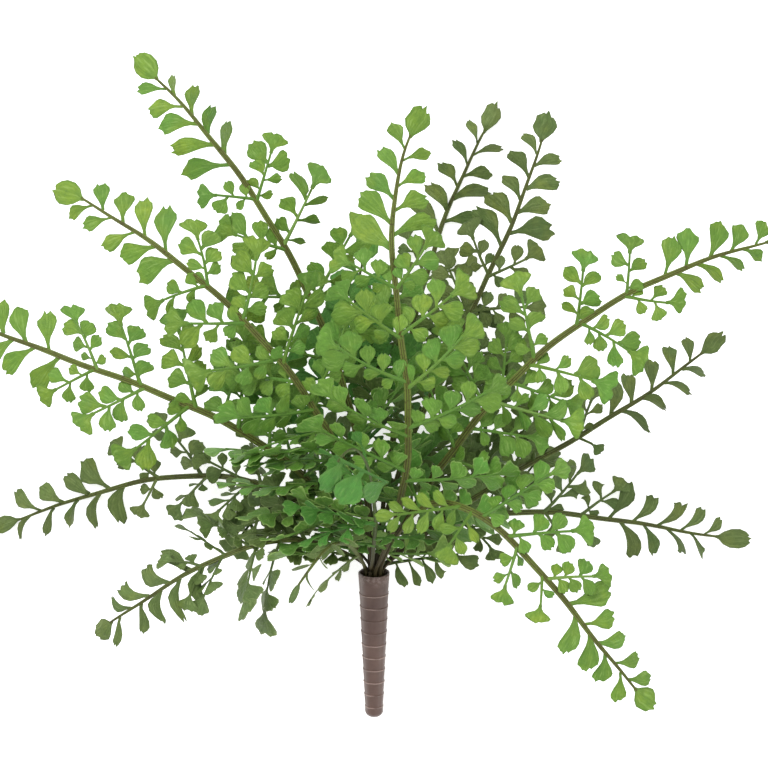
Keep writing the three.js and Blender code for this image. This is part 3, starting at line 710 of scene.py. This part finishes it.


# Sprays set one by one on a frond's stem: how far above the rim, which way the spray points, which
# way it faces and its length. Those that don't face up are seen edge-on.
SET_SPRAYS = {
    "frond_lower_left": (
        (34, (-1, 0.3, 0.25), (0, 1, 0.2), 58), (50, (-0.5, 0.85, 0.1), (0, -0.2, 1), 44)),
    "frond_left_lower": (
        (30, (-1, 0.15, 0.1), (0, 1, 0.2), 62), (58, (-0.9, -0.3, 0.2), (0.1, 0.4, 1), 50),
        (76, (-0.6, -0.75, 0.15), (0.1, 0.3, 1), 46), (96, (-0.9, 0.5, 0.1), (0, 0.2, 1), 34)),
    "frond_left": (
        (46, (-1, 0.1, 0.3), (0, 1, 0.25), 60), (62, (-1, 0.25, 0.15), (0, 1, 0.3), 62),
        (80, (0.6, 0.45, 0.4), (0, 1, 0.25), 52), (98, (-1, 0.3, 0.3), (0, 1, 0.15), 46),
        (108, (0.05, 1, 0.2), (0, 0, 1), 50), (142, (0.3, 1, 0.1), (0, 0, 1), 48)),
    "frond_left_upper": (
        (118, (-0.9, 0.5, 0.1), (0, 0, 1), 48), (148, (-1, 0.15, 0), (0, 0, 1), 42),
        (70, (-0.9, 0.05, 0.35), (0, 1, 0.3), 60), (86, (-1, 0.12, 0.3), (0, 1, 0.15), 58),
        (98, (-1, 0, 0.2), (0, 1, 0.12), 62), (110, (-1, -0.14, 0.22), (0, 1, 0.15), 58)),
    "frond_upper_left": (
        (74, (-1, 0.02, 0.35), (0, 1, 0.15), 60), (84, (-1, -0.1, 0.3), (0, 1, 0.3), 56),
        (152, (0.95, 0.35, 0.1), (0, 0, 1), 46)),
    "frond_upper_middle": (
        (40, (-0.8, 0.45, 0.5), (0, 0.6, 1), 42), (112, (0.75, 0.6, 0.2), (0, 0, 1), 42),
        (118, (-0.5, 1, 0.2), (0, 0, 1), 44), (138, (-0.15, 1, 0.15), (0, 0, 1), 44),
        (130, (0.55, 1, 0.15), (0, 0, 1), 44)),
    "frond_right_upper": (
        (120, (1, -0.15, 0.1), (0, 0, 1), 46), (158, (0.95, -0.35, 0.05), (0, 0, 1), 44),
        (150, (0.1, 1, 0.05), (0, 0, 1), 40)),
    "frond_top_right": ((128, (0.6, 0.8, 0.1), (0, 0, 1), 46),),
    "frond_right": ((104, (0.2, 1, 0.15), (0, 0, 1), 40),),
    "frond_front": (
        (36, (-1, 0.14, 0.4), (0, 1, 0.3), 58), (44, (0.9, 0.12, 0.5), (0, 1, 0.3), 40),
        (64, (-1, -0.12, 0.3), (0, 1, 0.35), 46)),
    "frond_front_low": ((22, (-1, 0.24, 0.3), (0, 1, 0.3), 54),),
}
# Sprays set leaflet by leaflet: how far above the rim, where the rib ends, which way the spray
# faces, and each leaflet's share of the rib, side, angle, length and width.
SET_LEAVES = {
    "frond_lower_right": (
        (100, (9, -76, 122), (0, 0.1, 1), OVAL_KINDS, (
            (0.1, 1, 62, 11, 6.5), (0.2, -1, 48, 13, 7), (0.3, 1, 66, 13, 7.4),
            (0.42, -1, 46, 13.5, 7.6), (0.52, 1, 64, 13.5, 7.6), (0.63, -1, 44, 13, 7.4),
            (0.74, 1, 60, 12.5, 7), (0.84, -1, 42, 11, 6.6), (0.93, 1, 50, 11, 6),
            (0.96, -1, 4, 12, 8))),
        (108, (38, -94, 124), (0, 0.1, 1), PAIR_KINDS, (
            (0.3, 1, 70, 13, 8), (0.5, -1, 56, 12, 8), (0.7, 1, 60, 11, 7),
            (0.9, 1, 10, 11, 15)))),
    "frond_right_lower": (
        (5, (41, -101, 60), (0, 0.2, 1), NARROW_KINDS, (
            (0.16, -1, 76, 15, 6.6), (0.34, -1, 74, 16.5, 7.4), (0.52, -1, 74, 15, 7),
            (0.68, -1, 70, 12, 7), (0.36, 1, 48, 17, 5.6), (0.52, 1, 46, 17, 6),
            (0.76, 1, 40, 11, 5), (0.94, -1, 24, 14.5, 10))),),
    "frond_front": (
        (186, (6, -58, 176), (0, 0.1, 1), ("round",), (
            (0.06, -1, 94, 19.5, 14), (0.45, -1, 101, 22.5, 18), (0.92, -1, 122, 16, 15))),),
}


def add_set_leaves(foliage, place, end, facing, kinds, leaves, draw, painted_shade):
    """A rib from place to end, with the leaflets that the table gives it."""
    reach = np.array(end, float) - place
    length = float(np.linalg.norm(reach))
    bend = arched_bend(place, unit(reach), facing, length)
    add_rib(foliage, bend, length - 1, 1.2, 0.8, 0.4, painted_shade)
    for share, side, angle, long, wide in leaves:
        add_leaflet(foliage, bend, draw, kinds, (share * length, 0.3 * side), side,
                    math.radians(angle), long, wide, 0, 0.04, painted_shade)


# ---- materials
class Finish:
    """A material with its nodes, made by short calls."""

    def __init__(self, name):
        self.material = bpy.data.materials.new(name)
        self.material.use_nodes = True
        self.tree = self.material.node_tree
        self.shader = self.tree.nodes["Principled BSDF"]

    def node(self, kind, **values):
        made = self.tree.nodes.new(kind)
        for key, value in values.items():
            if key in made.inputs:
                made.inputs[key].default_value = value
            else:
                setattr(made, key, value)
        return made

    def link(self, source, target):
        self.tree.links.new(source, target)

    def feed(self, socket, value):
        """Gives a socket a number, a colour or what another node makes."""
        if isinstance(value, (int, float)):
            socket.default_value = value
        elif isinstance(value, tuple):
            socket.default_value = (*value, 1)
        else:
            self.link(value, socket)

    def surface(self, name, value):
        self.feed(self.shader.inputs[name], value)

    def math(self, operation, *values):
        made = self.node("ShaderNodeMath", operation=operation)
        for socket, value in zip(made.inputs, values):
            self.feed(socket, value)
        return made.outputs[0]

    def blend(self, share, a, b, strength=None):
        """From colour a to colour b, by a share that strength can weaken."""
        if strength is not None:
            share = self.math("MULTIPLY", share, strength)
        made = self.node("ShaderNodeMix", data_type="RGBA")
        for slot, value in {0: share, 6: a, 7: b}.items():
            self.feed(made.inputs[slot], value)
        return made.outputs[2]

    def ramp(self, source, low, high):
        made = self.node("ShaderNodeMapRange", clamp=True)
        made.inputs["From Min"].default_value = low
        made.inputs["From Max"].default_value = high
        self.link(source, made.inputs["Value"])
        return made.outputs["Result"]

    def noise(self, scale, detail=2.0, roughness=0.5):
        made = self.node("ShaderNodeTexNoise", Scale=scale, Detail=detail, Roughness=roughness)
        place = self.node("ShaderNodeTexCoord")
        self.link(place.outputs["Object"], made.inputs["Vector"])
        return made.outputs["Fac"]

    def streaks(self, fineness):
        """Uneven streaks that run from a leaflet's foot to its end."""
        mark = self.node("ShaderNodeAttribute", attribute_name="growth")
        stretch = self.node("ShaderNodeVectorMath", operation="MULTIPLY")
        stretch.inputs[1].default_value = fineness
        self.link(mark.outputs["Vector"], stretch.inputs[0])
        made = self.node("ShaderNodeTexNoise", Scale=1.0, Detail=2.0, Roughness=0.6)
        self.link(stretch.outputs["Vector"], made.inputs["Vector"])
        return made.outputs["Fac"]

    def growth(self):
        mark = self.node("ShaderNodeAttribute", attribute_name="growth")
        split = self.node("ShaderNodeSeparateXYZ")
        self.link(mark.outputs["Vector"], split.inputs[0])
        return split.outputs[0], split.outputs[1], split.outputs[2]

    def bump(self, height, strength, distance):
        made = self.node("ShaderNodeBump", Strength=strength, Distance=distance)
        self.link(height, made.inputs["Height"])
        self.link(made.outputs["Normal"], self.shader.inputs["Normal"])


def leaf_finish(name, light, deep, cool, shade_green, pale, olive, warm_and_painted_light):
    """Soft moulded plastic leaf: mottled greens, veins that fan from the foot, painted shade and
    painted light, darker edges, and a painted highlight along the edges in painted shade.
    """
    finish = Finish(name)
    across, along, tone = finish.growth()
    painted_shade = finish.node("ShaderNodeAttribute", attribute_name="painted_shade").outputs["Fac"]
    patch = finish.ramp(finish.noise(24), 0.44, 0.6)
    cooler = finish.ramp(finish.math("FRACT", finish.math("MULTIPLY", tone, 7.3), 0), 0.4, 1.0)
    cooled = finish.math("MAXIMUM", finish.math("MULTIPLY", patch, 0.5), cooler)
    green = finish.blend(cooled, light, cool, 0.7)
    warmed = finish.blend(finish.ramp(finish.noise(60), 0.5, 0.68), green, warm_and_painted_light, 0.6)
    # painted shade near the mouth: darker and greener, then olive close to it
    shaded = finish.blend(finish.ramp(painted_shade, 0.0, 0.55), warmed, shade_green, 0.6)
    shaded = finish.blend(finish.ramp(painted_shade, 0.6, 0.95), shaded, olive, 0.7)
    # below zero: painted light, a warmer and brighter green
    shaded = finish.blend(finish.ramp(painted_shade, 0.0, -1.0), shaded, warm_and_painted_light)
    mottle = finish.ramp(finish.noise(190, 4.0, 0.7), 0.4, 0.62)
    mottled = finish.blend(mottle, shaded, deep, 0.4)
    toned = finish.blend(tone, mottled, deep, 0.5)
    footed = finish.blend(finish.ramp(along, 0.45, 0.05), toned, deep, 0.45)
    streak = finish.streaks((11, 2.6, 60))
    veined = finish.blend(finish.ramp(streak, 0.5, 0.66), footed, deep, 0.42)
    veined = finish.blend(finish.ramp(streak, 0.45, 0.3), veined, pale, 0.3)
    side_gap = finish.math("MINIMUM", across, finish.math("SUBTRACT", 1.0, across))
    end_gap = finish.math("SUBTRACT", 1.0, along)
    rim = finish.ramp(finish.math("MINIMUM", side_gap, end_gap), 0.09, 0.01)
    # edges: darker where there is no painted shade, with a pale painted highlight where there is
    rim_line_and_highlight = finish.blend(finish.ramp(painted_shade, 0.2, 0.7), deep, pale)
    finish.surface("Base Color", finish.blend(rim, veined, rim_line_and_highlight, 0.55))
    shine = finish.ramp(finish.noise(140), 0.2, 0.8)
    finish.surface("Roughness", finish.math("ADD", finish.math("MULTIPLY", shine, 0.14), 0.46))
    finish.bump(finish.math("ADD", streak, mottle), 0.6, 0.0006)
    finish.surface("Specular IOR Level", 0.24)
    return finish.material


def stem_finish(name, edge, deep):
    """Olive moulded stem with two brown grooves and darker, browner stretches."""
    finish = Finish(name)
    groove, along, _ = finish.growth()
    stain = finish.ramp(finish.noise(55, 4.0, 0.6), 0.42, 0.62)
    brown = finish.blend(stain, edge, deep, 0.38)
    footed = finish.blend(finish.ramp(along, 0.4, 0.08), brown, (0.05, 0.03, 0.018), 0.85)
    grooved = finish.blend(finish.ramp(groove, 0.5, 0.92), footed, deep)
    nick = finish.ramp(finish.noise(620, 3.0), 0.56, 0.66)
    finish.surface("Base Color", finish.blend(nick, grooved, deep, 0.6))
    finish.surface("Roughness", 0.55)
    finish.surface("Specular IOR Level", 0.2)
    finish.bump(finish.noise(420, 3.0), 0.45, 0.0004)
    return finish.material


def pick_finish():
    """Brown moulded socket: cloudy colour, broken paler rings, crinkles round the mouth."""
    finish = Finish("moulded_brown")
    ring, along, _ = finish.growth()
    cloud = finish.ramp(finish.noise(45, 4.0, 0.6), 0.35, 0.7)
    base = finish.blend(cloud, (0.118, 0.07, 0.056), (0.07, 0.04, 0.032))
    broken = finish.ramp(finish.noise(75), 0.4, 0.52)
    worn = finish.math("MULTIPLY", ring, broken)
    rubbed = finish.blend(worn, base, (0.33, 0.235, 0.205), 0.8)
    near_mouth = finish.ramp(along, 0.92, 0.98)
    crinkle = finish.ramp(finish.noise(520, 3.0), 0.45, 0.6)
    specks = finish.math("MULTIPLY", crinkle, near_mouth)
    finish.surface("Base Color", finish.blend(specks, rubbed, (0.26, 0.19, 0.17), 0.6))
    finish.surface("Roughness", finish.math("ADD", finish.math("MULTIPLY", cloud, 0.12), 0.4))
    finish.bump(finish.math("ADD", finish.noise(180, 4.0, 0.65), specks), 0.3, 0.0005)
    return finish.material


def binder_finish():
    finish = Finish("set_filling")
    lump = finish.noise(400, 3.0)
    finish.surface("Base Color", finish.blend(lump, (0.075, 0.05, 0.035), (0.03, 0.022, 0.016)))
    finish.surface("Roughness", 0.7)
    finish.bump(lump, 0.5, 0.0006)
    return finish.material


# ---- pick: turned up ring by ring from its closed end, then laid in its place
PICK_SEGMENTS = 56
PICK_END_RADIUS = 1.2  # of the flat at its closed end
ROUND_STEPS = 6
CREASES = 7
CREASE_DEPTH = 0.035  # as a share of the radius
PICK_HOLLOW = 30  # depth of its open mouth
# How far beyond the wall and how far up, for the steps of one raised ring, and how far inside the
# outer edge and how far down, for those round the rim of the mouth.
RING_STEPS = ((-0.05, -0.35), (0.12, -0.1), (0.1, 0.15), (-0.3, 0.4), (-0.2, 1.6))
RIM_STEPS = ((0.08, 1.6), (0, 0.5), (0.25, 0), (PICK_WALL - 0.25, 0), (PICK_WALL, 0.35))


def pick_radius(height):
    return mix(PICK_TIP_RADIUS, PICK_MOUTH_RADIUS, height / PICK_LENGTH)


def make_pick():
    deselect_all()
    bpy.ops.mesh.primitive_circle_add(
        vertices=PICK_SEGMENTS, radius=PICK_END_RADIUS, fill_type="TRIFAN", location=(0, 0, 0))
    pick = bpy.context.object
    pick.name = "pick_socket"
    bpy.ops.object.mode_set(mode="EDIT")
    bpy.ops.mesh.select_all(action="DESELECT")
    bpy.ops.mesh.select_mode(type="EDGE")
    bpy.ops.mesh.select_non_manifold()
    state = {"radius": PICK_END_RADIUS, "height": 0.0}

    def pull(radius, height):
        """Extrudes the open edge to a new radius and height."""
        bpy.ops.mesh.extrude_edges_move(
            TRANSFORM_OT_translate={"value": (0, 0, height - state["height"])})
        share = radius / state["radius"]
        bpy.ops.transform.resize(value=(share, share, 1), center_override=(0, 0, height))
        state["radius"], state["height"] = radius, height

    round_end = PICK_TIP_RADIUS * 0.75
    for step in range(1, ROUND_STEPS + 1):
        turn = step / ROUND_STEPS * math.pi / 2
        pull(mix(PICK_END_RADIUS, pick_radius(round_end), math.sin(turn)),
             round_end * (1 - math.cos(turn)))
    rings = [PICK_FIRST_RING + ring * PICK_RING_PITCH for ring in range(PICK_RINGS)]
    for height in rings:
        pull(pick_radius(height - 1.2) - 0.12, height - 1.2)
        for beyond, up in RING_STEPS:
            pull(pick_radius(height) + beyond, height + up)
    for inside, down in RIM_STEPS:
        pull(PICK_MOUTH_RADIUS - inside, PICK_LENGTH - down)
    bottom = PICK_LENGTH - PICK_HOLLOW
    pull(pick_radius(bottom) - PICK_WALL, bottom)
    pull(2.0, bottom - 2)
    bpy.ops.mesh.edge_face_add()
    bpy.ops.mesh.select_all(action="SELECT")
    bpy.ops.mesh.normals_make_consistent(inside=False)
    bpy.ops.object.mode_set(mode="OBJECT")
    places = np.array([vertex.co[:] for vertex in pick.data.vertices])
    heights = places[:, 2]
    turns = np.arctan2(places[:, 1], places[:, 0])
    folds = np.abs(np.cos(CREASES / 2 * turns)) ** 8
    creases = 1 - CREASE_DEPTH * folds * (heights > round_end)
    ring_shares = np.zeros(len(places))
    outer = np.hypot(places[:, 0], places[:, 1]) > pick_radius(heights) - 0.5
    for height in rings:
        ring_shares[(np.abs(heights - height) < 0.2) & outer] = 1
    for vertex, crease in zip(pick.data.vertices, creases):
        vertex.co.x *= crease
        vertex.co.y *= crease
    marks = pick.data.attributes.new("growth", "FLOAT_VECTOR", "POINT")
    table = np.column_stack((ring_shares, heights / PICK_LENGTH, np.zeros(len(places))))
    marks.data.foreach_set("vector", table.ravel())
    tip = mouth + moved - pick_axis * PICK_LENGTH
    placing = np.column_stack((pick_across, -pick_front, pick_axis, tip)) * MM
    pick.data.transform(Matrix((*placing.tolist(), (0, 0, 0, 1))))
    pick.data.materials.append(pick_finish())
    smooth(pick, 35)
    return pick


# ---- making the bush
greens = {
    "leaf_bright": leaf_finish(
        "leaf_bright_green", (0.18, 0.285, 0.03), (0.07, 0.158, 0.021), (0.08, 0.26, 0.04),
        (0.068, 0.275, 0.038), (0.33, 0.47, 0.14), (0.22, 0.3, 0.07), (0.235, 0.32, 0.03)),
    "leaf_middle": leaf_finish(
        "leaf_middle_green", (0.1, 0.25, 0.033), (0.042, 0.13, 0.018), (0.052, 0.225, 0.042),
        (0.06, 0.24, 0.04), (0.2, 0.36, 0.09), (0.21, 0.29, 0.07), (0.145, 0.25, 0.032)),
    "leaf_dark": leaf_finish(
        "leaf_dark_green", (0.142, 0.185, 0.046), (0.058, 0.09, 0.022), (0.078, 0.165, 0.042),
        (0.092, 0.18, 0.044), (0.25, 0.31, 0.12), (0.2, 0.265, 0.066), (0.205, 0.245, 0.04)),
}
stems = {
    "leaf_bright": stem_finish("stem_bright_olive", (0.125, 0.17, 0.03), (0.05, 0.036, 0.013)),
    "leaf_middle": stem_finish("stem_middle_olive", (0.07, 0.11, 0.024), (0.036, 0.034, 0.014)),
    "leaf_dark": stem_finish("stem_dark_olive", (0.105, 0.14, 0.03), (0.04, 0.03, 0.014)),
}
PAINTED_SHADE_REACH = 170  # leaflets nearer the mouth than this get painted shade: darker and greener, and olive close to it
ROLLED_REACH = 170  # and the sprays nearer than this are rolled edgeways
ROLL_GAIN = 2.4  # how soon they are rolled fully on the way to the mouth
UNEVEN = 9  # degrees by which a side spray's roll and curl stray
CURL_SHARE = 0.25  # curl of a side spray, as a share of the frond's
BOW = 0.09  # how far a side spray bows sideways, as a share of its length
SLENDER = 0.86  # stem of a back frond, as a share of a front one's
BARE_STEM = 0.7  # and stem of a frond without end spray
EDGE_ON_SLIM = 0.78  # width of the leaflets of a spray set edge-on
SET_PAINTED_LIGHT_AND_SHADE = (-0.25, 0.35)  # painted shade of leaflets set one by one, on bright and other fronds; below zero it is painted light
FULLER = 0.2  # how much longer the sprays halfway out are than the frame's
SHORTER = 0.2  # and how much shorter those next to the end spray
NEXT_TO_END = 0.97  # the very last ones are single leaflets of the end spray
FIRST_SEED = 400

routes, sprays = set_out_fronds()
for seed, (name, route) in enumerate(routes.items()):
    draw = np.random.default_rng(FIRST_SEED + seed)
    frond = FRONDS[name]
    foliage = Foliage()
    end_bend = end_spray_bend(route, frond.rests)
    bright = frond.green == "leaf_bright"
    stout = (1.0 if bright else SLENDER) * (BARE_STEM if frond.bare else 1)
    add_stem(foliage, route, end_bend, stout)
    stem_reach = route.length - END_SPRAY - route.rim
    if not frond.bare:
        add_end_spray(foliage, end_bend, draw, frond, stem_reach)
    for index, (at, side, length, bend) in enumerate(sprays[name]):
        above = at - route.rim
        near_tip = above / stem_reach
        if index in frond.left_out or near_tip > NEXT_TO_END:
            continue
        # painted shade: side sprays nearer the mouth are painted darker and greener, and olive
        # close to it
        painted_shade = max(1 - above / PAINTED_SHADE_REACH, 0)
        inner = max(1 - above / ROLLED_REACH, 0)
        roll = (edge_on_turn(bend, length / 2) * by_side(frond.roll, side)
                * min(ROLL_GAIN * inner, 1) + math.radians(draw.normal(0, UNEVEN)))
        curl = CURL_SHARE * by_side(frond.curl, side) + draw.normal(0, UNEVEN)
        fuller = 1 + FULLER * math.sin(math.pi * near_tip ** 1.5) - SHORTER * near_tip ** 4
        length *= fuller * by_side(frond.spread, side)
        bow = draw.normal(0, BOW) / length
        add_side_spray(foliage, length, rolled(bend, roll, bow), draw, curl, painted_shade, frond.slim)
    for above, heading, facing, length in SET_SPRAYS.get(name, ()):
        rib = unit(np.array(heading, float))
        bend = arched_bend(route.at(route.rim + above)[0], rib, facing, length)
        slim = EDGE_ON_SLIM if facing[2] < 0.5 else 1.0
        # these sprays also get painted shade by their nearness to the mouth
        add_side_spray(foliage, length, bend, draw, 0, 1 - above / PAINTED_SHADE_REACH, slim)
    for above, *spray in SET_LEAVES.get(name, ()):
        place = route.at(route.rim + above)[0]
        # painted light on the leaflets of bright fronds, painted shade on the others
        add_set_leaves(foliage, place, *spray, draw, SET_PAINTED_LIGHT_AND_SHADE[0 if bright else 1])
    piece = foliage.make(name + "_leafy", [greens[frond.finish], stems[frond.finish]])
    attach(piece, "root")
    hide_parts(name)

pick = make_pick()
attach(pick, "root")
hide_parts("pick")

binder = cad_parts["binder"]
binder.data.materials.clear()
binder.data.materials.append(binder_finish())


# ---- floor, light and camera
def make_floor():
    deselect_all()
    bpy.ops.mesh.primitive_grid_add(x_subdivisions=8, y_subdivisions=8, size=14)
    floor = bpy.context.object
    floor.name = "pale_floor"
    finish = Finish("pale_paper")
    cloud = finish.blend(finish.noise(1.5), (0.86, 0.86, 0.86), (0.9, 0.9, 0.9))
    finish.surface("Base Color", cloud)
    finish.surface("Roughness", 0.85)
    finish.surface("Emission Color", (1, 1, 1))
    finish.surface("Emission Strength", 0.6)
    floor.data.materials.append(finish.material)


def add_light(name, place, size, power):
    light = bpy.data.lights.new(name, "AREA")
    light.shape = "SQUARE"
    light.size = size
    light.energy = power
    lamp = bpy.data.objects.new(name, light)
    lamp.location = place
    lamp.rotation_mode = "QUATERNION"
    lamp.rotation_quaternion = (-Vector(place)).to_track_quat("-Z", "Y")
    bpy.context.collection.objects.link(lamp)


make_floor()
add_light("key", (-0.9, 0.9, 2.0), 1.1, 40)
add_light("fill", (1.4, -0.6, 1.6), 1.6, 14)
world = bpy.data.worlds.new("studio")
world.use_nodes = True
world.node_tree.nodes["Background"].inputs[0].default_value = (1, 1, 1, 1)
world.node_tree.nodes["Background"].inputs[1].default_value = 0.74
bpy.context.scene.world = world
bpy.context.scene.view_settings.view_transform = "Standard"

FRAME_WIDTH = 461 * MM  # what the picture's width shows at the height of the mouth
CAMERA_HEIGHT = 3.0
MOUTH_HEIGHT = 0.04
SENSOR = 36
camera_data = bpy.data.cameras.new("camera")
camera_data.sensor_width = SENSOR
camera_data.lens = SENSOR * (CAMERA_HEIGHT - MOUTH_HEIGHT) / FRAME_WIDTH
camera_data.clip_end = 50
camera = bpy.data.objects.new("camera", camera_data)
camera.location = (moved[0] * MM, moved[1] * MM, CAMERA_HEIGHT)
bpy.context.collection.objects.link(camera)
bpy.context.scene.camera = camera
